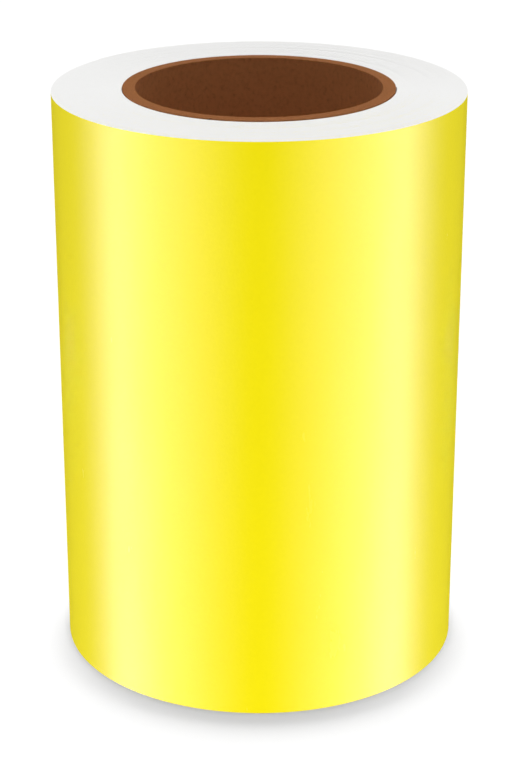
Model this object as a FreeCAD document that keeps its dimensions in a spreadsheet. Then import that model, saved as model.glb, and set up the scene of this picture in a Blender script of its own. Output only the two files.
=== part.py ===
"""A roll of self-adhesive sign vinyl, standing on end.

A spiral-wound paperboard core carries one long web, wound face out. The web is a vinyl film with
its adhesive coat, lying on a paper release liner. The last part of the web, the tail, can be
unrolled from the lap beneath it. It is cut into short curved plates, each hinged along its outer
face. At the free end the film can be peeled off the liner, and a paper tab holds it all closed.

Frame: millimetres, +Z up along the roll's axis, origin at the centre of the bottom end.
The web winds outwards anticlockwise, seen from above. The tail lies at the back, on the +Y side.
"""

import FreeCAD, Part
import math
import os

import Sketcher

Vector = FreeCAD.Vector
UP = Vector(0, 0, 1)
HALF_TURN = 180

DIMENSIONS = {
    # core: a tube of glued paper strips, each wound as a helix
    "bore_diameter": 76.2,
    "core_length": 183.4,
    "inner_ply_thickness": 0.42,
    "body_ply_thickness": 0.51,
    "outer_ply_thickness": 0.28,
    "body_ply_count": 6,
    "glue_line": 0.02,
    "strip_pitch": 150.0,
    "strip_gap": 0.40,
    "groove_depth": 0.20,
    "first_seam_angle": 200.0,
    "seam_stagger": 47.0,
    # double-sided tape that holds the first lap on the core
    "start_tape_thickness": 0.08,
    "start_tape_width": 19.0,
    # web: film and liner, wound together
    "web_width": 183.0,
    "web_start_radius": 42.15,
    "liner_thickness": 0.14,
    "film_thickness": 0.10,
    "lap_count": 90,
    # tail: the part of the web that lifts off the roll
    "tail_start_angle": 36.0,
    "tail_plate_count": 7,
    "tail_plate_angle": 12.0,
    "tail_clearance": 0.03,
    # tip: the end of the tail, where the film peels off the liner
    "curl_plate_count": 5,
    "curl_plate_angle": 3.0,
    "end_plate_angle": 9.0,
    "tip_clearance": 0.02,
    # tab: a strip of paper tape, half on the film's end and half on the lap beneath
    "tab_thickness": 0.09,
    "tab_width": 24.0,
    "tab_held_angle": 7.0,
    "tab_free_angle": 13.0,
    "tab_step_angle": 0.15,
    "tab_edge_gap_angle": 0.05,
}


def make_sheet(document):
    """The spreadsheet of driving dimensions: names in column A, plain numbers in column B."""
    sheet = document.addObject("Spreadsheet::Sheet", "dims")
    for line, (alias, value) in enumerate(DIMENSIONS.items(), start=1):
        sheet.set(f"A{line}", alias)
        sheet.set(f"B{line}", str(value))
        sheet.setAlias(f"B{line}", alias)
    document.recompute()
    return sheet


def origin_feature(body, role):
    return next(f for f in body.Origin.OriginFeatures if f.Role == role)


def section(body, name, left, bottom, width, height):
    """A rectangle in the body's XZ plane. left, bottom, width and height are expressions."""
    sketch = body.newObject("Sketcher::SketchObject", name)
    sketch.AttachmentSupport = [(origin_feature(body, "XZ_Plane"), "")]
    sketch.MapMode = "FlatFace"
    sketch.setExpression("AttachmentOffset.Base.y", bottom)
    corners = [Vector(10, 0), Vector(20, 0), Vector(20, 10), Vector(10, 10)]
    for start, end in zip(corners, corners[1:] + corners[:1]):
        sketch.addGeometry(Part.LineSegment(start, end))
    for side in range(4):
        sketch.addConstraint(Sketcher.Constraint("Coincident", side, 2, (side + 1) % 4, 1))
    for side, direction in enumerate(["Horizontal", "Vertical", "Horizontal", "Vertical"]):
        sketch.addConstraint(Sketcher.Constraint(direction, side))
    sketch.addConstraint(Sketcher.Constraint("DistanceY", -1, 1, 0, 1, 0))
    sized = {
        "left": (Sketcher.Constraint("DistanceX", -1, 1, 0, 1, 10), left),
        "width": (Sketcher.Constraint("DistanceX", 0, 1, 0, 2, 10), width),
        "height": (Sketcher.Constraint("DistanceY", 1, 1, 1, 2, 10), height),
    }
    for label, (constraint, expression) in sized.items():
        sketch.renameConstraint(sketch.addConstraint(constraint), label)
        sketch.setExpression(f"Constraints.{label}", expression)
    return sketch


def revolve(body, name, radius, thickness, bottom, height, angle):
    """Adds a rectangular section to the body, revolved by angle anticlockwise about its Z axis."""
    plate = body.newObject("PartDesign::Revolution", name)
    plate.Profile = section(body, f"{name}_section", radius, bottom, thickness, height)
    plate.ReferenceAxis = (origin_feature(body, "Z_Axis"), [""])
    plate.setExpression("Angle", angle)
    return plate


def curved_plate(document, name, radius, thickness, bottom, height, angle, turn="0", centre="0"):
    """A body holding one revolved plate, about the vertical line at X = centre.

    turn is where the plate starts, in degrees anticlockwise from +X. All are expressions.
    """
    body = document.addObject("PartDesign::Body", name)
    body.Label = name
    revolve(body, f"{name}_plate", radius, thickness, bottom, height, angle)
    body.Placement = FreeCAD.Placement(Vector(), FreeCAD.Rotation(UP, 1))
    body.setExpression("Placement.Base.x", centre)
    body.setExpression("Placement.Rotation.Angle", turn)
    return body


def core_ply(document, name, radius, thickness, turn, seam_width):
    """One helically wound paper strip: a tube with a narrow helical seam between the strip's edges.

    The seam is cut outwards from the tube's inner face, and seam_width says how far.
    """
    body = curved_plate(document, name, radius, thickness, "0", "dims.core_length", "360", turn)
    left = f"{radius} - {thickness}"
    width = f"{thickness} + {seam_width}"
    gap = section(body, f"{name}_gap_section", left, "-2 * dims.strip_gap", width, "dims.strip_gap")
    document.recompute()
    seam = body.newObject("PartDesign::SubtractiveHelix", f"{name}_seam")
    seam.Profile = gap
    seam.ReferenceAxis = (origin_feature(body, "Z_Axis"), [""])
    seam.Mode = "pitch-height-angle"
    seam.Angle = 0
    seam.setExpression("Pitch", "dims.strip_pitch")
    seam.setExpression("Height", "dims.core_length + 4 * dims.strip_gap")
    return body


def make_core(document, dims):
    """The core's plies, from the bore outwards, with a glue line between neighbours.

    The inner ply's edges lap, so its seam is only a groove. The others have a gap right through.
    """
    core = {}
    layers = ["inner"] + ["body"] * int(dims.body_ply_count) + ["outer"]
    radius = "dims.bore_diameter / 2"
    for place, layer in enumerate(layers):
        name = f"core_body_ply_{place}" if layer == "body" else f"core_{layer}_ply"
        thickness = f"dims.{layer}_ply_thickness"
        turn = f"dims.first_seam_angle + {place} * dims.seam_stagger"
        seam_width = "dims.groove_depth" if layer == "inner" else f"2 * {thickness}"
        core[name] = core_ply(document, name, radius, thickness, turn, seam_width)
        radius = f"{radius} + {thickness} + dims.glue_line"
    return core


class WebSpiral:
    """The web's path as semicircles about two centres, a quarter of the pitch each side of the axis.

    Each semicircle's radius is half a pitch more than the last one's, so the arcs join smoothly.
    Angles run on past 360 degrees from lap to lap, and are measured about the semicircle's centre.
    Depths are measured outwards from the web's inner face.
    """

    def __init__(self, dims):
        self.pitch = dims.liner_thickness + dims.film_thickness
        self.start_radius = dims.web_start_radius
        self.width = dims.web_width

    def arc(self, half_lap, depth, start, end):
        """Part of one semicircle, as an edge."""
        side = -1 if half_lap % 2 == 0 else 1
        centre = Vector(side * self.pitch / 4, 0, 0)
        radius = self.start_radius + half_lap * self.pitch / 2 + depth
        circle = Part.Circle(centre, UP, radius)
        return Part.Arc(circle, math.radians(start), math.radians(end)).toShape()

    def arcs(self, depth, start, end):
        """The arcs of the path from angle start to angle end."""
        edges = []
        while start < end:
            half_lap = int(start // HALF_TURN)
            stop = min(end, (half_lap + 1) * HALF_TURN)
            edges.append(self.arc(half_lap, depth, start, stop))
            start = stop
        return edges

    def strip(self, inner, outer, start, end):
        """A wound strip between the depths inner and outer, as one solid of the web's width."""
        inside = self.arcs(inner, start, end)
        outside = self.arcs(outer, start, end)
        first = Part.makeLine(first_point(inside), first_point(outside))
        last = Part.makeLine(last_point(inside), last_point(outside))
        wire = Part.Wire([first, *outside, last, *reversed(inside)])
        return Part.Face(wire).extrude(UP * self.width)

    def disc(self, depth, start):
        """A face bounded by the lap that starts at angle start, and the step from its end to its start."""
        lap = self.arcs(depth, start, start + 2 * HALF_TURN)
        return Part.Face(Part.Wire([*lap, Part.makeLine(last_point(lap), first_point(lap))]))

    def between(self, inner_start, outer_start):
        """All the laps between two single laps, given where each of the two starts, as one solid."""
        ring = self.disc(0, outer_start).cut(self.disc(self.pitch, inner_start))
        return ring.Faces[0].extrude(UP * self.width)


def first_point(edges):
    return edges[0].valueAt(edges[0].FirstParameter)


def last_point(edges):
    return edges[-1].valueAt(edges[-1].LastParameter)


def make_wound_web(document, dims):
    """The innermost and outermost lap of the liner and the film, and the laps between them."""
    spiral = WebSpiral(dims)
    full_turn = 2 * HALF_TURN
    outer_start = (dims.lap_count - 1) * full_turn + dims.tail_start_angle
    shapes = {"laps_between": spiral.between(0, outer_start)}
    layers = {"liner": (0, dims.liner_thickness), "film": (dims.liner_thickness, spiral.pitch)}
    for layer, (inner, outer) in layers.items():
        for lap, start in {"first": 0, "outer": outer_start}.items():
            shapes[f"{layer}_{lap}_lap"] = spiral.strip(inner, outer, start, start + full_turn)
    web = {}
    for name, shape in shapes.items():
        web[name] = document.addObject("Part::Feature", name)
        web[name].Shape = shape
        web[name].Label = name
    return web


def make_start_tape(document):
    """The tape strip along the core, under the start of the first lap."""
    radius = "dims.bore_diameter / 2 + dims.inner_ply_thickness + dims.outer_ply_thickness"
    radius += " + dims.body_ply_count * dims.body_ply_thickness"
    radius += " + (dims.body_ply_count + 1) * dims.glue_line"
    angle = f"dims.start_tape_width / ({radius}) * 180 / pi"
    thickness = "dims.start_tape_thickness"
    return curved_plate(document, "start_tape", radius, thickness, "0", "dims.web_width", angle)


def make_tail(document, dims):
    """The tail's liner and film plates, the film plates that peel off the liner, and the tab."""
    pitch = "(dims.liner_thickness + dims.film_thickness)"
    centre = f"-{pitch} / 4"
    lap_face = f"dims.web_start_radius + dims.lap_count * {pitch}"
    liner_face = f"{lap_face} + dims.tail_clearance"
    film_face = f"{liner_face} + dims.liner_thickness"
    outer_face = f"{liner_face} + {pitch}"
    tip_start = "dims.tail_start_angle + dims.tail_plate_count * dims.tail_plate_angle"
    end_start = f"{tip_start} + dims.curl_plate_count * dims.curl_plate_angle"
    tip_end = f"{end_start} + dims.end_plate_angle"
    web_height = ("0", "dims.web_width")
    tab_height = ("(dims.web_width - dims.tab_width) / 2", "dims.tab_width")
    plates = {}

    def plate(name, radius, thickness, height, angle, turn):
        plates[name] = curved_plate(document, name, radius, thickness, *height, angle, turn, centre)

    def liner(name, angle, turn):
        plate(name, liner_face, "dims.liner_thickness", web_height, angle, turn)

    def peeling_film(name, angle, turn):
        radius = f"{film_face} + dims.tip_clearance"
        thickness = "dims.film_thickness - dims.tip_clearance"
        plate(name, radius, thickness, web_height, angle, turn)

    for place in range(int(dims.tail_plate_count)):
        turn = f"dims.tail_start_angle + {place} * dims.tail_plate_angle"
        angle = "dims.tail_plate_angle"
        liner(f"liner_tail_{place + 1}", angle, turn)
        plate(f"film_tail_{place + 1}", film_face, "dims.film_thickness", web_height, angle, turn)
    liner("liner_tip", f"{tip_end} - ({tip_start})", tip_start)
    for place in range(int(dims.curl_plate_count)):
        turn = f"{tip_start} + {place} * dims.curl_plate_angle"
        peeling_film(f"film_tip_{place + 1}", "dims.curl_plate_angle", turn)
    peeling_film("film_end", "dims.end_plate_angle", end_start)

    turn = f"{tip_end} - dims.tab_held_angle"
    plate("tab_held_half", outer_face, "dims.tab_thickness", tab_height, "dims.tab_held_angle", turn)
    resting_face = f"{lap_face} + dims.tip_clearance"
    turn = f"{tip_end} + dims.tab_edge_gap_angle"
    plate("tab_free_half", resting_face, "dims.tab_thickness", tab_height, "dims.tab_free_angle", turn)
    step = f"{outer_face} + dims.tab_thickness - ({resting_face})"
    free_half = plates["tab_free_half"]
    revolve(free_half, "tab_step", resting_face, step, *tab_height, "dims.tab_step_angle")
    return plates


def check(document, nodes):
    """Stops with a message if an object failed, or a node's shape is not one valid solid."""
    failed = [o.Name for o in document.Objects if {"Invalid", "Error"} & set(o.State)]
    if failed:
        raise RuntimeError(f"these objects failed: {failed}")
    for name, node in nodes.items():
        shape = node.Shape
        if shape.isNull() or not shape.isValid() or len(shape.Solids) != 1:
            raise RuntimeError(f"{name} is not one valid solid")


def main():
    document = FreeCAD.newDocument("sign_vinyl_roll")
    dims = make_sheet(document)
    nodes = {
        **make_core(document, dims),
        "start_tape": make_start_tape(document),
        **make_wound_web(document, dims),
        **make_tail(document, dims),
    }
    document.recompute()
    check(document, nodes)
    os.makedirs("parts", exist_ok=True)
    for name, node in nodes.items():
        node.Shape.exportStep(f"parts/{name}.step")
        box = node.Shape.BoundBox
        print(f"{name:20s} {node.Shape.Volume:12.1f} mm3"
              f"  x {box.XMin:7.2f} {box.XMax:7.2f}  y {box.YMin:7.2f} {box.YMax:7.2f}"
              f"  z {box.ZMin:6.2f} {box.ZMax:7.2f}")
    return document, nodes


main()
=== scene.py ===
"""A roll of self-adhesive sign vinyl on its paperboard core, standing on end.

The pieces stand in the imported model's frame: metres, +Z up the roll's axis, origin at the centre
of the bottom end. The web winds outwards anticlockwise seen from above, and its tail is at the back.
"""

import math

import bpy
import numpy as np
from bpy.props import FloatProperty, FloatVectorProperty, IntProperty, PointerProperty
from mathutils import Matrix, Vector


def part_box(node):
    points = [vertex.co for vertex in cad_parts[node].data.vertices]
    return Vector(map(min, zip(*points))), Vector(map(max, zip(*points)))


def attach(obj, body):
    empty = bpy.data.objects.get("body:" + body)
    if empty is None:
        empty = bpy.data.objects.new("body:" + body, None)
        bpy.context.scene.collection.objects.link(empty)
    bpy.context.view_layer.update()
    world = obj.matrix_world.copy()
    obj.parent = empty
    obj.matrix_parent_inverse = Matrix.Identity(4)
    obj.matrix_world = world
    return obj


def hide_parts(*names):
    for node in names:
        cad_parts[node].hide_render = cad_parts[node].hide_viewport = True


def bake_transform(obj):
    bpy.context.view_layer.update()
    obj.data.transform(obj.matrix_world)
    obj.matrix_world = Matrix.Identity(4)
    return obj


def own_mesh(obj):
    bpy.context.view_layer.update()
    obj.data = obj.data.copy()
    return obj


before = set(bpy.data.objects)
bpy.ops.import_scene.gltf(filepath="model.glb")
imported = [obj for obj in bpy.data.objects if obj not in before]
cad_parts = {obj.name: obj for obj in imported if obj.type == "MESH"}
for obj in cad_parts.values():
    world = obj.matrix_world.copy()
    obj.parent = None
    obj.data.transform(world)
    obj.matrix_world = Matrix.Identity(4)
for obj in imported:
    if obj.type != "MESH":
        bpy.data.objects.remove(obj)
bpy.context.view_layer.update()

bl_info = {
    "name": "Sign Vinyl Roll",
    "version": (1, 0, 0),
    "blender": (4, 5, 0),
    "location": "View3D > Sidebar > Vinyl Roll",
    "description": "Builds a roll of self-adhesive sign vinyl with its core, tail and tab",
    "category": "Object",
}

MM = 0.001
WEB_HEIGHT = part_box("film_outer_lap")[1].z
CORE_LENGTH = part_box("core_inner_ply")[1].z
STEPS_PER_LAP = 192
PLY_STEPS = 200
PLY_ROWS = 64
PLATE_ROWS = 9
SHARP_EDGE = math.radians(35)


# ---------------------------------------------------------------- settings

def length(name, description, millimetres):
    return FloatProperty(name=name, description=description, default=millimetres * MM,
                         min=0.0, precision=5, subtype="DISTANCE", unit="LENGTH")


def angle(name, description, degrees):
    return FloatProperty(name=name, description=description, default=math.radians(degrees),
                         subtype="ANGLE", unit="ROTATION")


def colour(name, description, red, green, blue):
    return FloatVectorProperty(name=name, description=description, default=(red, green, blue),
                               size=3, min=0.0, max=1.0, subtype="COLOR")


class CoreSettings(bpy.types.PropertyGroup):
    bore_radius: length("Bore radius", "Inside radius of the core", 38.1)
    inner_ply: length("Inner ply", "Thickness of the kraft ply that lines the bore", 0.42)
    body_ply: length("Body ply", "Thickness of each chipboard ply", 0.51)
    outer_ply: length("Outer ply", "Thickness of the kraft ply outside", 0.28)
    glue_line: length("Glue line", "Thickness of the glue between plies", 0.02)
    body_ply_count: IntProperty(name="Body plies", description="Number of chipboard plies",
                                default=6, min=1)
    strip_pitch: length("Strip pitch", "Height that a strip climbs in one turn", 150.0)
    strip_gap: length("Seam gap", "Gap between the edges of one strip", 0.40)
    first_seam: angle("First seam", "Where the inner ply's seam starts", 200.0)
    seam_stagger: angle("Seam stagger", "Turn from one ply's seam to the next", 47.0)
    fuzz: length("Fuzz", "Unevenness of the plies' cut ends", 0.05)
    kraft: colour("Kraft", "Colour of the kraft plies", 0.50, 0.200, 0.070)
    chipboard: colour("Chipboard", "Colour of the plies' cut ends", 0.255, 0.097, 0.033)


class WebSettings(bpy.types.PropertyGroup):
    start_radius: length("Start radius", "Radius of the web's inner face where it starts", 42.15)
    liner: length("Liner", "Thickness of the release liner", 0.14)
    film: length("Film", "Thickness of the film and its adhesive", 0.10)
    lap_count: IntProperty(name="Laps", description="Number of whole laps", default=90, min=2)
    weave: length("Weave", "How far a lap may stand above the lowest one", 0.03)
    film_recess: length("Film recess", "How far the film's edge lies below the liner's", 0.003)
    vinyl: colour("Vinyl", "Colour of the film's face", 0.96, 0.82, 0.003)
    film_body: colour("Film body", "Colour of the film's edge and adhesive side", 0.86, 0.86, 0.85)
    liner_colour: colour("Liner", "Colour of the release liner", 0.88, 0.88, 0.87)
    tape_colour: colour("Start tape", "Colour of the tape on the core", 0.72, 0.70, 0.62)


class TailSettings(bpy.types.PropertyGroup):
    start: angle("Tail start", "Where the tail leaves the roll", 36.0)
    plate_count: IntProperty(name="Plates", description="Number of plates in the tail", default=7)
    plate_angle: angle("Plate angle", "Angle that each plate spans at rest", 12.0)
    clearance: length("Clearance", "Gap between the tail and the lap beneath", 0.03)
    peel_clearance: length("Peel clearance", "Gap between the free film and its liner", 0.02)
    curl_count: IntProperty(name="Curl joints", description="Joints of the peeling film", default=6)
    curl_angle: angle("Curl angle", "Angle between the joints of the peeling film", 3.0)
    end_angle: angle("End angle", "Angle of the film's stiff end", 9.0)
    flattening: FloatProperty(name="Flattening", default=0.25, min=0.05, max=1.0,
                              description="Share of its curve that an unrolled plate keeps")


class TabSettings(bpy.types.PropertyGroup):
    width: length("Tab width", "Height of the tab", 24.0)
    thickness: length("Tab thickness", "Thickness of the paper tab", 0.09)
    held_angle: angle("Held half", "Angle of the half on the film", 7.0)
    free_angle: angle("Free half", "Angle of the half on the lap beneath", 13.0)
    edge_gap: angle("Edge gap", "Gap between the tab's two halves", 0.05)
    step_angle: angle("Step", "Angle in which the free half drops to the lap beneath", 1.6)
    paper: colour("Tab paper", "Colour of the tab", 0.80, 0.74, 0.60)


class StageSettings(bpy.types.PropertyGroup):
    floor: colour("Floor", "Colour of the floor", 0.97, 0.97, 0.97)
    sky: FloatProperty(name="Sky", description="Strength of the even light all round", default=0.08)
    side_light: FloatProperty(name="Side light", default=9.6,
                              description="Power of each soft box round the roll, in watts")
    back_boost: FloatProperty(name="Back boost", default=1.12,
                              description="Power of the soft boxes behind, against those in front")
    box_size: length("Box size", "Diameter of each soft box", 160.0)
    box_distance: length("Box distance", "Distance of each soft box from the roll's axis", 1200.0)
    box_drop: length("Box drop", "How far each soft box is below the roll's foot", 350.0)
    box_tilt: angle("Box tilt", "How far each soft box looks up", 20.0)
    top_light: FloatProperty(name="Top light", default=3.25,
                             description="Strength of the soft light from above")
    top_spread: angle("Top spread", "Angle of the lamp above the roll, as seen from it", 60.0)
    floor_light: FloatProperty(name="Floor light", default=1.37,
                               description="Strength of each lamp that lights the floor aslant")
    floor_top_light: FloatProperty(name="Floor top light", default=1.7,
                                   description="Strength of the lamp that lights the floor from above")
    floor_spread: angle("Floor spread", "Angle of each lamp over the floor, as seen from it", 50.0)
    floor_lean: angle("Floor lean", "How far the slanting floor lamps lean from upright", 68.0)
    skirt_height: length("Skirt height", "Height of the band that shades the floor", 7.5)
    skirt_inset: length("Skirt inset", "How far the band stands inside the roll's outline", 1.0)
    skirt_lift: length("Skirt lift", "Gap between the band and the floor", 0.2)
    floor_reach: length("Floor reach", "Half the side of the floor", 6000.0)
    card_radius: length("Card radius", "Distance of the reflected light cards", 800.0)
    card_below: length("Card below", "How far the light cards reach below the floor", 1200.0)
    card_above: length("Card above", "How far the light cards reach above the floor", 800.0)
    card_glow: FloatProperty(name="Card glow", default=1.7,
                             description="Strength of the light cards seen in the film")
    focal_length: FloatProperty(name="Focal length", description="Of the camera, in millimetres",
                                default=100.1)
    camera_distance: length("Camera distance", "From the roll's axis, level", 651.1)
    camera_height: length("Camera height", "Above the floor", 342.3)
    camera_drop: angle("Camera drop", "How far the camera looks down", 21.69)
    camera_aside: length("Camera aside", "How far the camera stands to the right", 0.3)


# ---------------------------------------------------------------- shapes

def spiral(turned, depth, web):
    """Points on the web's path, in plan.

    The path is made of semicircles about two centres, a quarter of the pitch each side of the
    axis. Semicircle k has radius start + k times half the pitch, plus the depth outside the web's
    inner face, and its centre is on the -X side for even k and on the +X side for odd k.
    """
    pitch = web.liner + web.film
    half_lap = np.floor(turned / math.pi + 1e-9)
    centre = np.where(half_lap % 2 == 0, -pitch / 4, pitch / 4)
    radius = web.start_radius + half_lap * pitch / 2 + depth
    return centre + radius * np.cos(turned), radius * np.sin(turned)


def arc(turned, radius, web):
    """Points on a circle about the outermost semicircle's centre, in plan."""
    centre = -(web.liner + web.film) / 4
    return centre + radius * np.cos(turned), radius * np.sin(turned)


def wall(plan, bottom, top, rows=2):
    """A grid that stands on a line in plan: the height runs evenly from bottom to top."""
    x, y = plan
    share = np.linspace(0.0, 1.0, rows)
    z = np.asarray(bottom)[..., None] * (1 - share) + np.asarray(top)[..., None] * share
    z = np.broadcast_to(z, (len(x), rows))
    return np.stack([np.repeat(x[:, None], rows, 1), np.repeat(y[:, None], rows, 1), z], axis=-1)


def shell(name, front, back, front_finish, other_finish, border_finish=None):
    """A closed sheet between two grids of the same size, joined round all four borders.

    The borders have a finish of their own if one is given, or else that of the back.

    The first index runs along the sheet and the second up it. Each face takes two neighbours of
    one row and the two beside them, turned so that it faces away from the other grid.
    """
    along, up = front.shape[:2]
    index = np.arange(along * up).reshape(along, up)
    behind = index + along * up

    def quads(a, b, c, d):
        return np.stack([a, b, c, d], axis=-1).reshape(-1, 4)

    def skin(grid, flipped):
        corners = [grid[:-1, :-1], grid[1:, :-1], grid[1:, 1:], grid[:-1, 1:]]
        return quads(*(corners[::-1] if flipped else corners))

    seen = skin(index, False)
    faces = np.concatenate([
        seen,
        skin(behind, True),
        quads(behind[:-1, 0], behind[1:, 0], index[1:, 0], index[:-1, 0]),
        quads(index[:-1, -1], index[1:, -1], behind[1:, -1], behind[:-1, -1]),
        quads(behind[0, :-1], index[0, :-1], index[0, 1:], behind[0, 1:]),
        quads(index[-1, :-1], behind[-1, :-1], behind[-1, 1:], index[-1, 1:]),
    ])
    points = np.concatenate([front.reshape(-1, 3), back.reshape(-1, 3)])
    mesh = bpy.data.meshes.new(name)
    mesh.from_pydata(points.tolist(), [], faces.tolist())
    mesh.materials.append(other_finish)
    mesh.materials.append(front_finish)
    slots = np.zeros(len(faces), dtype=np.int32)
    slots[:len(seen)] = 1
    if border_finish:
        mesh.materials.append(border_finish)
        slots[2 * len(seen):] = 2
    mesh.polygons.foreach_set("material_index", slots)
    mesh.polygons.foreach_set("use_smooth", np.ones(len(faces), dtype=bool))
    mesh.set_sharp_from_angle(angle=SHARP_EDGE)
    mesh.update()
    piece = bpy.data.objects.new(name, mesh)
    bpy.context.scene.collection.objects.link(piece)
    return piece


def ply(name, radius, thickness, seam, core, rng, finish, cut_finish):
    """A tube with a helical seam: at height z the strip runs once round, from the seam to the seam.

    The seam's angle is its angle at the bottom plus a full turn for each pitch of height. The
    top cut end is uneven by a sum of three waves round the tube; the bottom one is flat.
    """
    share = np.linspace(0.0, 1.0, PLY_ROWS)
    half_gap = math.pi * core.strip_gap / core.strip_pitch
    start = seam + 2 * math.pi * (CORE_LENGTH * share + 1.5 * core.strip_gap) / core.strip_pitch
    turned = start[None, :] + np.linspace(half_gap, 2 * math.pi - half_gap, PLY_STEPS)[:, None]
    waves = rng.integers(5, 60, 3)
    phases = rng.uniform(0, 2 * math.pi, 3)
    uneven = sum(np.sin(n * turned[:, -1] + p) for n, p in zip(waves, phases)) / 3
    heights = np.repeat(CORE_LENGTH * share[None, :], len(turned), 0)
    heights[:, -1] += core.fuzz * (uneven - 1) / 2

    def skin(r):
        return np.stack([r * np.cos(turned), r * np.sin(turned), heights], axis=-1)

    return shell(name, skin(radius + thickness), skin(radius), finish, finish, cut_finish)


# ---------------------------------------------------------------- finishes

class Value:
    """A socket of a material's node tree, on which Python's arithmetic adds Math nodes."""

    def __init__(self, finish, socket):
        self.finish = finish
        self.socket = socket

    def maths(self, operation, first, second):
        node = self.finish.node("ShaderNodeMath", {"operation": operation}, {0: first, 1: second})
        return Value(self.finish, node.outputs[0])

    def __add__(self, other):
        return self.maths("ADD", self, other)

    def __radd__(self, other):
        return self.maths("ADD", other, self)

    def __sub__(self, other):
        return self.maths("SUBTRACT", self, other)

    def __rsub__(self, other):
        return self.maths("SUBTRACT", other, self)

    def __mul__(self, other):
        return self.maths("MULTIPLY", self, other)

    def __rmul__(self, other):
        return self.maths("MULTIPLY", other, self)

    def __pow__(self, other):
        return self.maths("POWER", self, other)


class Finish:
    """One procedural material, built round a Principled shader."""

    def __init__(self, name, **fixed):
        self.material = bpy.data.materials.new(name)
        self.material.use_nodes = True
        self.tree = self.material.node_tree
        self.tree.nodes.clear()
        self.shader = self.node("ShaderNodeBsdfPrincipled", {}, fixed)
        self.node("ShaderNodeOutputMaterial", {}, {"Surface": self.shader.outputs[0]})
        self.place = self.node("ShaderNodeTexCoord", {}, {}).outputs["Object"]

    def node(self, kind, settings, sockets):
        """Any node: its settings are set first, then each socket gets its value or link."""
        node = self.tree.nodes.new(kind)
        for setting, value in settings.items():
            setattr(node, setting, value)
        for key, value in sockets.items():
            self.feed(node.inputs[key], value)
        return node

    def feed(self, socket, value):
        if isinstance(value, Value):
            value = value.socket
        if isinstance(value, bpy.types.NodeSocket):
            self.tree.links.new(value, socket)
        else:
            socket.default_value = value

    def stretched(self, scale):
        """Object coordinates, scaled by a different amount along each axis."""
        return self.node("ShaderNodeMapping", {"vector_type": "POINT"},
                         {"Vector": self.place, "Scale": scale}).outputs[0]

    def noise(self, scale, detail=2.0, roughness=0.5, place=None):
        node = self.node("ShaderNodeTexNoise", {}, {
            "Vector": place or self.place, "Scale": scale, "Detail": detail,
            "Roughness": roughness})
        return Value(self, node.outputs[0])

    def mix(self, share, first, second):
        """A colour between two colours."""
        node = self.node("ShaderNodeMix", {"data_type": "RGBA"}, {0: share, 6: first, 7: second})
        return node.outputs[2]

    def set(self, **sockets):
        for key, value in sockets.items():
            self.feed(self.shader.inputs[key.replace("_", " ")], value)
        return self

    def bump(self, height, distance, strength=1.0):
        node = self.node("ShaderNodeBump", {}, {
            "Height": height, "Distance": distance, "Strength": strength})
        self.feed(self.shader.inputs["Normal"], node.outputs[0])
        return self


def rgba(tint, gain=1.0):
    return [*(min(1.0, c * gain) for c in tint), 1.0]


def vinyl_finish(tint):
    """Satin film: a fine pebble, faint clouds in the colour, and soft scuffs in the gloss."""
    finish = Finish("vinyl_face", IOR=1.5)
    pebble = finish.noise(1500.0, 3.0, 0.6)
    clouds = finish.noise(14.0, 3.0)
    scuffs = finish.noise(90.0, 5.0, 0.7, finish.stretched((1.0, 1.0, 0.25)))
    speckle = finish.noise(900.0, 1.0)
    shade = clouds * 0.5 + speckle * 0.5
    finish.set(Base_Color=finish.mix(shade, rgba(tint, 0.955), rgba(tint, 1.03)),
               Roughness=0.22 + scuffs * 0.08)
    finish.bump(pebble + speckle * 0.6, 0.000035)
    return finish.material


def film_body_finish(tint):
    """The film's cut edge and tacky side: pale, with a faint mottle."""
    finish = Finish("film_body", IOR=1.47)
    mottle = finish.noise(700.0, 3.0)
    finish.set(Base_Color=finish.mix(mottle, rgba(tint, 0.94), rgba(tint, 1.04)),
               Roughness=0.42 + mottle * 0.12)
    finish.bump(mottle, 0.00001)
    return finish.material


def liner_finish(tint):
    """Release liner: white paper with fine fibres under a thin silicone coat."""
    finish = Finish("release_liner", IOR=1.45)
    fibres = finish.noise(2200.0, 5.0, 0.65, finish.stretched((1.0, 1.0, 0.45)))
    bands = finish.noise(240.0, 2.0)
    shade = fibres * 0.7 + bands * 0.3
    finish.set(Base_Color=finish.mix(shade, rgba(tint, 0.93), rgba(tint, 1.04)),
               Roughness=0.55 + fibres * 0.15)
    finish.bump(fibres, 0.00001)
    return finish.material


def board_finish(name, tint, dark, grain):
    """Paperboard: long fibres, darker flecks and a dry, uneven surface."""
    finish = Finish(name, IOR=1.4)
    fibres = finish.noise(grain, 6.0, 0.7, finish.stretched((1.0, 1.0, 0.3)))
    clouds = finish.noise(60.0, 3.0)
    flecks = finish.noise(grain * 0.6, 2.0) ** 4.0
    shade = fibres * 0.6 + clouds * 0.4
    base = finish.mix(shade, rgba(tint, dark), rgba(tint, 1.18))
    finish.set(Base_Color=finish.mix(flecks * 1.5, base, rgba(tint, 0.45)),
               Roughness=0.78 + fibres * 0.16)
    finish.bump(fibres + clouds * 0.5, 0.00005)
    return finish.material


def tape_finish(name, tint, ribs):
    """Paper tape: fine crepe ribs across its length, and fibres."""
    finish = Finish(name, IOR=1.45)
    crepe = finish.noise(ribs, 3.0, 0.6, finish.stretched((1.0, 1.0, 0.15)))
    fibres = finish.noise(2600.0, 4.0, 0.6)
    shade = crepe * 0.6 + fibres * 0.4
    finish.set(Base_Color=finish.mix(shade, rgba(tint, 0.88), rgba(tint, 1.08)),
               Roughness=0.62 + fibres * 0.18)
    finish.bump(crepe + fibres * 0.3, 0.00004)
    return finish.material


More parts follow.
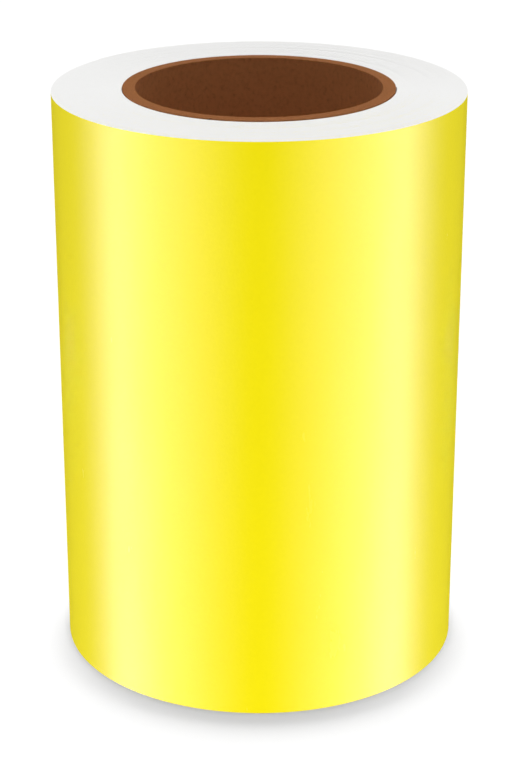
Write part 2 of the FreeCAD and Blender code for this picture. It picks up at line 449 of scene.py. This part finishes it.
def floor_finish(tint):
    """A matt, almost white table top."""
    finish = Finish("floor", IOR=1.4)
    mottle = finish.noise(30.0, 2.0)
    finish.set(Base_Color=finish.mix(mottle, rgba(tint, 0.998), rgba(tint, 1.0)), Roughness=0.9)
    return finish.material


def card_finish(strength):
    """A black screen that glows by its own "glow" attribute, from 0 to 1."""
    finish = Finish("light_card")
    glow = finish.node("ShaderNodeAttribute", {"attribute_name": "glow"}, {}).outputs["Color"]
    finish.set(Base_Color=rgba((0.0, 0.0, 0.0)), Specular_IOR_Level=0.0,
               Emission_Color=glow, Emission_Strength=strength)
    finish.material.cycles.emission_sampling = "NONE"
    return finish.material


FINISHES = {}


# ---------------------------------------------------------------- operators

class VINYL_OT_finishes(bpy.types.Operator):
    """Make the finishes that the pieces share"""

    bl_idname = "vinyl_roll.finishes"
    bl_label = "Finishes"

    def execute(self, context):
        scene = context.scene
        web = scene.vinyl_web
        core = scene.vinyl_core
        FINISHES["vinyl"] = vinyl_finish(web.vinyl)
        FINISHES["film_body"] = film_body_finish(web.film_body)
        FINISHES["liner"] = liner_finish(web.liner_colour)
        FINISHES["kraft"] = board_finish("kraft_ply", core.kraft, 0.80, 1300.0)
        FINISHES["chipboard"] = board_finish("chipboard_ply", core.chipboard, 0.72, 2000.0)
        FINISHES["tape"] = tape_finish("tissue_tape", web.tape_colour, 900.0)
        FINISHES["tab"] = tape_finish("paper_tab", scene.vinyl_tab.paper, 1400.0)
        return {"FINISHED"}


class VINYL_OT_core(bpy.types.Operator):
    """Wind the core's paper plies, and finish the tape that holds the web on it"""

    bl_idname = "vinyl_roll.core"
    bl_label = "Core"

    def execute(self, context):
        core = context.scene.vinyl_core
        rng = np.random.default_rng(11)
        nodes = ["core_inner_ply"]
        nodes += [f"core_body_ply_{place + 1}" for place in range(core.body_ply_count)]
        nodes.append("core_outer_ply")
        radius = core.bore_radius
        for place, node in enumerate(nodes):
            kind = node.split("_")[1]
            thickness = getattr(core, f"{kind}_ply")
            seam = core.first_seam + place * core.seam_stagger
            finish = FINISHES["chipboard" if kind == "body" else "kraft"]
            piece = ply(node.replace("core_", "wound_"), radius, thickness, seam, core, rng,
                        finish, FINISHES["chipboard"])
            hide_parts(node)
            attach(piece, "roll")
            radius += thickness + core.glue_line
        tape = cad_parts["start_tape"].data.materials
        tape.clear()
        tape.append(FINISHES["tape"])
        return {"FINISHED"}


class VINYL_OT_web(bpy.types.Operator):
    """Wind the film and the release liner, lap on lap"""

    bl_idname = "vinyl_roll.web"
    bl_label = "Web"

    def execute(self, context):
        web = context.scene.vinyl_web
        tail = context.scene.vinyl_tail
        end = 2 * math.pi * web.lap_count + tail.start
        turned = np.linspace(0.0, end, int(STEPS_PER_LAP * end / (2 * math.pi)) + 1)
        laps = turned / (2 * math.pi)
        rng = np.random.default_rng(5)
        stations = np.arange(web.lap_count + 2)
        drift = np.interp(laps, stations, rng.uniform(0.0, 1.0, len(stations)))
        settle = np.clip(laps[-1] - laps, 0.0, 1.0)
        rise = web.weave * drift * settle * settle * (3 - 2 * settle)
        sheets = [
            ("wound_liner", 0.0, web.liner, 0.0, FINISHES["liner"], FINISHES["liner"],
             ["liner_first_lap", "liner_outer_lap", "laps_between"], "release_liner"),
            ("wound_film", web.liner, web.liner + web.film, web.film_recess * settle,
             FINISHES["vinyl"], FINISHES["film_body"],
             ["film_first_lap", "film_outer_lap"], "vinyl_film"),
        ]
        for name, inner, outer, recess, face, edge, nodes, slot in sheets:
            bottom = rise + recess
            top = WEB_HEIGHT + rise - recess
            front = wall(spiral(turned, outer, web), bottom, top)
            back = wall(spiral(turned, inner, web), bottom, top)
            piece = shell(name, front, back, face, edge)
            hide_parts(*nodes)
            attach(piece, "roll")
            # The film's own colour isn't thrown on the floor or the core.
            piece.visible_diffuse = name != "wound_film"
        return {"FINISHED"}


class Tail:
    """Where the tail's faces and joints lie, from the settings."""

    def __init__(self, scene):
        self.web = scene.vinyl_web
        self.settings = scene.vinyl_tail
        lap_face = self.web.start_radius + self.web.lap_count * (self.web.liner + self.web.film)
        self.lap_face = lap_face
        self.liner_face = lap_face + self.settings.clearance
        self.film_face = self.liner_face + self.web.liner
        self.outer_face = self.film_face + self.web.film
        self.tip_start = self.settings.start
        self.tip_start += self.settings.plate_count * self.settings.plate_angle
        self.end = self.tip_start + (self.settings.curl_count - 1) * self.settings.curl_angle
        self.end += self.settings.end_angle

    def plate(self, name, inner, outer, start, end, face, edge, bottom=0.0, top=WEB_HEIGHT):
        """A curved plate: the part of a ring between two radii and two angles."""
        steps = 1 + max(6, int(math.degrees(end - start) * 2))
        turned = np.linspace(start, end, steps)
        low = np.full(steps, bottom)
        high = np.full(steps, top)
        front = wall(arc(turned, outer, self.web), low, high, PLATE_ROWS)
        back = wall(arc(turned, inner, self.web), low, high, PLATE_ROWS)
        return shell(name, front, back, FINISHES[face], FINISHES[edge])

    def point(self, turned, radius):
        x, y = arc(turned, radius, self.web)
        return (float(x), float(y), WEB_HEIGHT / 2)


class VINYL_OT_tail(bpy.types.Operator):
    """Lay the tail's liner and film plates on the roll"""

    bl_idname = "vinyl_roll.tail"
    bl_label = "Tail"

    def execute(self, context):
        tail = Tail(context.scene)
        settings = tail.settings
        for place in range(settings.plate_count):
            start = settings.start + place * settings.plate_angle
            end = start + settings.plate_angle
            middle = (start + end) / 2
            anchor = tail.point(middle, tail.outer_face * math.cos(settings.plate_angle / 2))
            number = place + 1
            liner = tail.plate(f"tail_liner_{number}", tail.liner_face, tail.film_face, start, end,
                               "liner", "liner")
            film = tail.plate(f"tail_film_{number}", tail.film_face, tail.outer_face, start, end,
                              "vinyl", "film_body")
            for piece, layer, slot in ((liner, "liner", "release_liner"), (film, "film", "vinyl_film")):
                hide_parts(f"{layer}_tail_{number}")
                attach(piece, f"tail_{number}")
                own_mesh(piece)
        tip = tail.plate("tip_liner", tail.liner_face, tail.film_face, tail.tip_start, tail.end,
                         "liner", "liner")
        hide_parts("liner_tip")
        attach(tip, "tail_tip")
        return {"FINISHED"}


class VINYL_OT_film_end(bpy.types.Operator):
    """Lay the film's peeling end on the tail's tip"""

    bl_idname = "vinyl_roll.film_end"
    bl_label = "Film End"

    def execute(self, context):
        tail = Tail(context.scene)
        settings = tail.settings
        inner = tail.film_face + settings.peel_clearance
        step = settings.curl_angle
        bodies = ["tail_tip"]
        bodies += [f"film_tip_{number}" for number in range(1, settings.curl_count)]
        bodies.append("film_end")
        edge = tail.tip_start
        for place in range(settings.curl_count):
            joint = tail.tip_start + place * step
            start = edge
            edge = joint + step / 2
            piece = tail.plate(f"film_curl_{place + 1}", inner, tail.outer_face, start, edge,
                               "vinyl", "film_body")
            if place < settings.curl_count - 1:
                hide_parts(f"film_tip_{place + 1}")
            tail.point(start, tail.outer_face)
            tail.point(edge, tail.outer_face)
            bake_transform(piece)
        end = tail.plate("film_lip", inner, tail.outer_face, edge, tail.end, "vinyl", "film_body")
        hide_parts("film_end")
        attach(end, "film_end")
        return {"FINISHED"}


class VINYL_OT_tab(bpy.types.Operator):
    """Stick the paper tab over the free end"""

    bl_idname = "vinyl_roll.tab"
    bl_label = "Tab"

    def execute(self, context):
        tail = Tail(context.scene)
        tab = context.scene.vinyl_tab
        bottom = (WEB_HEIGHT - tab.width) / 2
        top = bottom + tab.width
        held = tail.plate("tab_on_film", tail.outer_face, tail.outer_face + tab.thickness,
                          tail.end - tab.held_angle, tail.end, "tab", "tab", bottom, top)
        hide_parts("tab_held_half")
        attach(held, "film_end")

        # The free half drops from the film's face to the lap beneath, by a smooth step.
        turned = np.linspace(tail.end + tab.edge_gap, tail.end + tab.free_angle, 60)
        share = np.clip((turned - turned[0]) / tab.step_angle, 0.0, 1.0)
        drop = share * share * (3 - 2 * share)
        resting = tail.lap_face + tail.settings.peel_clearance
        inner = tail.outer_face + (resting - tail.outer_face) * drop
        low = np.full(len(turned), bottom)
        high = np.full(len(turned), top)
        front = wall(arc(turned, inner + tab.thickness, tail.web), low, high, PLATE_ROWS)
        back = wall(arc(turned, inner, tail.web), low, high, PLATE_ROWS)
        free = shell("tab_on_lap", front, back, FINISHES["tab"], FINISHES["tab"])
        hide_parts("tab_free_half")
        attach(free, "tab_free")
        return {"FINISHED"}


class VINYL_OT_stage(bpy.types.Operator):
    """Set up the floor, the soft lights and the camera"""

    bl_idname = "vinyl_roll.stage"
    bl_label = "Stage"

    def execute(self, context):
        scene = context.scene
        stage = scene.vinyl_stage
        pieces = self.group("roll_pieces", [o for o in scene.objects if o.type == "MESH"])
        floor = self.floor(stage)
        floor_only = self.group("floor_only", [floor])
        skirt_only = self.group("skirt_only", [self.skirt(scene, stage)])
        self.sky(scene, stage)
        for number, turned in enumerate(np.radians([45.0, 135.0, 225.0, 315.0])):
            behind = math.cos(turned) < 0
            power = stage.side_light * (stage.back_boost if behind else 1.0)
            box = self.lamp(f"soft_box_{number}", "AREA", power, pieces, pieces)
            box.data.shape = "DISK"
            box.data.size = stage.box_size
            box.location = (stage.box_distance * math.sin(turned),
                            -stage.box_distance * math.cos(turned), -stage.box_drop)
            box.rotation_euler = (math.pi / 2 + stage.box_tilt, 0.0, turned)
        for number, turned in enumerate(np.radians([150.0, 180.0, 210.0])):
            sun = self.lamp(f"floor_lamp_{number}", "SUN", stage.floor_light, floor_only, skirt_only)
            sun.data.angle = stage.floor_spread
            sun.rotation_euler = (stage.floor_lean, 0.0, turned)
        above = self.lamp("floor_lamp_above", "SUN", stage.floor_top_light, floor_only, skirt_only)
        above.data.angle = stage.floor_spread
        top = self.lamp("top_lamp", "SUN", stage.top_light, pieces, pieces)
        top.data.angle = stage.top_spread
        self.cards(stage)
        self.camera(scene, stage)
        return {"FINISHED"}

    def group(self, name, members):
        """A collection that says which objects a lamp lights, or which ones shade its light."""
        collection = bpy.data.collections.new(name)
        for member in members:
            collection.objects.link(member)
        return collection

    def lamp(self, name, kind, strength, lit, shading):
        """A lamp that gives no reflection, and lights and is shaded by the pieces named only."""
        data = bpy.data.lights.new(name, kind)
        data.energy = strength
        lamp = bpy.data.objects.new(name, data)
        lamp.visible_glossy = False
        lamp.light_linking.receiver_collection = lit
        lamp.light_linking.blocker_collection = shading
        bpy.context.scene.collection.objects.link(lamp)
        return lamp

    def floor(self, stage):
        """A flat square sheet under the roll, much larger than the view."""
        side = np.array([-stage.floor_reach, stage.floor_reach])
        x, y = np.meshgrid(side, side, indexing="ij")
        top = np.stack([x, y, np.zeros_like(x)], axis=-1)
        finish = floor_finish(stage.floor)
        floor = shell("floor", top, top - [0.0, 0.0, 0.01], finish, finish)
        floor.visible_glossy = False
        floor.visible_diffuse = False
        return floor

    def skirt(self, scene, stage):
        """A low band just inside the roll's outline. It is never seen, and only shades the floor."""
        web = scene.vinyl_web
        turned = np.linspace(0.0, 2 * math.pi, 97)
        low = np.full(len(turned), stage.skirt_lift)
        high = np.full(len(turned), stage.skirt_height)
        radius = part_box("film_outer_lap")[1].x - stage.skirt_inset
        front = wall(arc(turned, radius, web), low, high)
        back = wall(arc(turned, radius - MM, web), low, high)
        finish = floor_finish(stage.floor)
        skirt = shell("skirt", front, back, finish, finish)
        for kind in ("camera", "diffuse", "glossy", "transmission", "volume_scatter"):
            setattr(skirt, f"visible_{kind}", False)
        return skirt

    def sky(self, scene, stage):
        world = bpy.data.worlds.new("soft_sky")
        world.use_nodes = True
        background = world.node_tree.nodes["Background"]
        background.inputs["Color"].default_value = (1.0, 1.0, 1.0, 1.0)
        background.inputs["Strength"].default_value = stage.sky
        world.cycles_visibility.glossy = False
        scene.world = world

    def cards(self, stage):
        """A round screen of light about the roll, seen only in its gloss.

        Its glow depends on the angle from the front: dark in front, brightest at the sides, and
        dark again at the back, by straight lines between a few stops.
        """
        turned = np.radians(np.linspace(-170.0, 170.0, 341))
        stops = np.radians([0.0, 8.0, 22.0, 47.0, 73.0, 84.0, 92.0, 100.0, 112.0, 122.0, 170.0])
        glows = [0.0, 0.1, 1.0, 2.9, 4.7, 4.7, 2.9, 1.3, 0.3, 0.1, 0.0]
        glow = np.interp(np.abs(turned), stops, glows)
        plan = (stage.card_radius * np.sin(turned), -stage.card_radius * np.cos(turned))
        outside = (plan[0] * 1.01, plan[1] * 1.01)
        low = np.full(len(turned), -stage.card_below)
        high = np.full(len(turned), stage.card_above)
        finish = card_finish(stage.card_glow * max(glows))
        card = shell("light_card", wall(outside, low, high), wall(plan, low, high), finish, finish)
        attribute = card.data.attributes.new("glow", "FLOAT", "POINT")
        attribute.data.foreach_set("value", np.tile(np.repeat(glow / max(glows), 2), 2))
        for kind in ("camera", "diffuse", "shadow", "transmission", "volume_scatter"):
            setattr(card, f"visible_{kind}", False)

    def camera(self, scene, stage):
        data = bpy.data.cameras.new("camera")
        data.lens = stage.focal_length
        data.sensor_width = 36.0
        data.sensor_fit = "AUTO"
        data.clip_end = 50.0
        camera = bpy.data.objects.new("camera", data)
        camera.location = (stage.camera_aside, -stage.camera_distance, stage.camera_height)
        camera.rotation_euler = (math.pi / 2 - stage.camera_drop, 0.0, 0.0)
        scene.collection.objects.link(camera)
        scene.camera = camera
        scene.view_settings.view_transform = "Standard"


OPERATORS = (VINYL_OT_finishes, VINYL_OT_core, VINYL_OT_web, VINYL_OT_tail, VINYL_OT_film_end,
             VINYL_OT_tab, VINYL_OT_stage)
SETTINGS = {"vinyl_core": CoreSettings, "vinyl_web": WebSettings, "vinyl_tail": TailSettings,
            "vinyl_tab": TabSettings, "vinyl_stage": StageSettings}


class VINYL_PT_panel(bpy.types.Panel):
    """The roll's sizes, colours and steps"""

    bl_idname = "VINYL_PT_panel"
    bl_label = "Sign Vinyl Roll"
    bl_space_type = "VIEW_3D"
    bl_region_type = "UI"
    bl_category = "Vinyl Roll"

    def draw(self, context):
        for operator in OPERATORS:
            self.layout.operator(operator.bl_idname)
        for name, settings in SETTINGS.items():
            box = self.layout.box()
            for prop in settings.__annotations__:
                box.prop(getattr(context.scene, name), prop)


def register():
    for cls in (*SETTINGS.values(), *OPERATORS, VINYL_PT_panel):
        bpy.utils.register_class(cls)
    for name, settings in SETTINGS.items():
        setattr(bpy.types.Scene, name, PointerProperty(type=settings))


def unregister():
    for name in SETTINGS:
        delattr(bpy.types.Scene, name)
    for cls in (VINYL_PT_panel, *reversed(OPERATORS), *SETTINGS.values()):
        bpy.utils.unregister_class(cls)


def main():
    register()
    for operator in OPERATORS:
        group, step = operator.bl_idname.split(".")
        getattr(getattr(bpy.ops, group), step)()


if __name__ == "__main__":
    main()
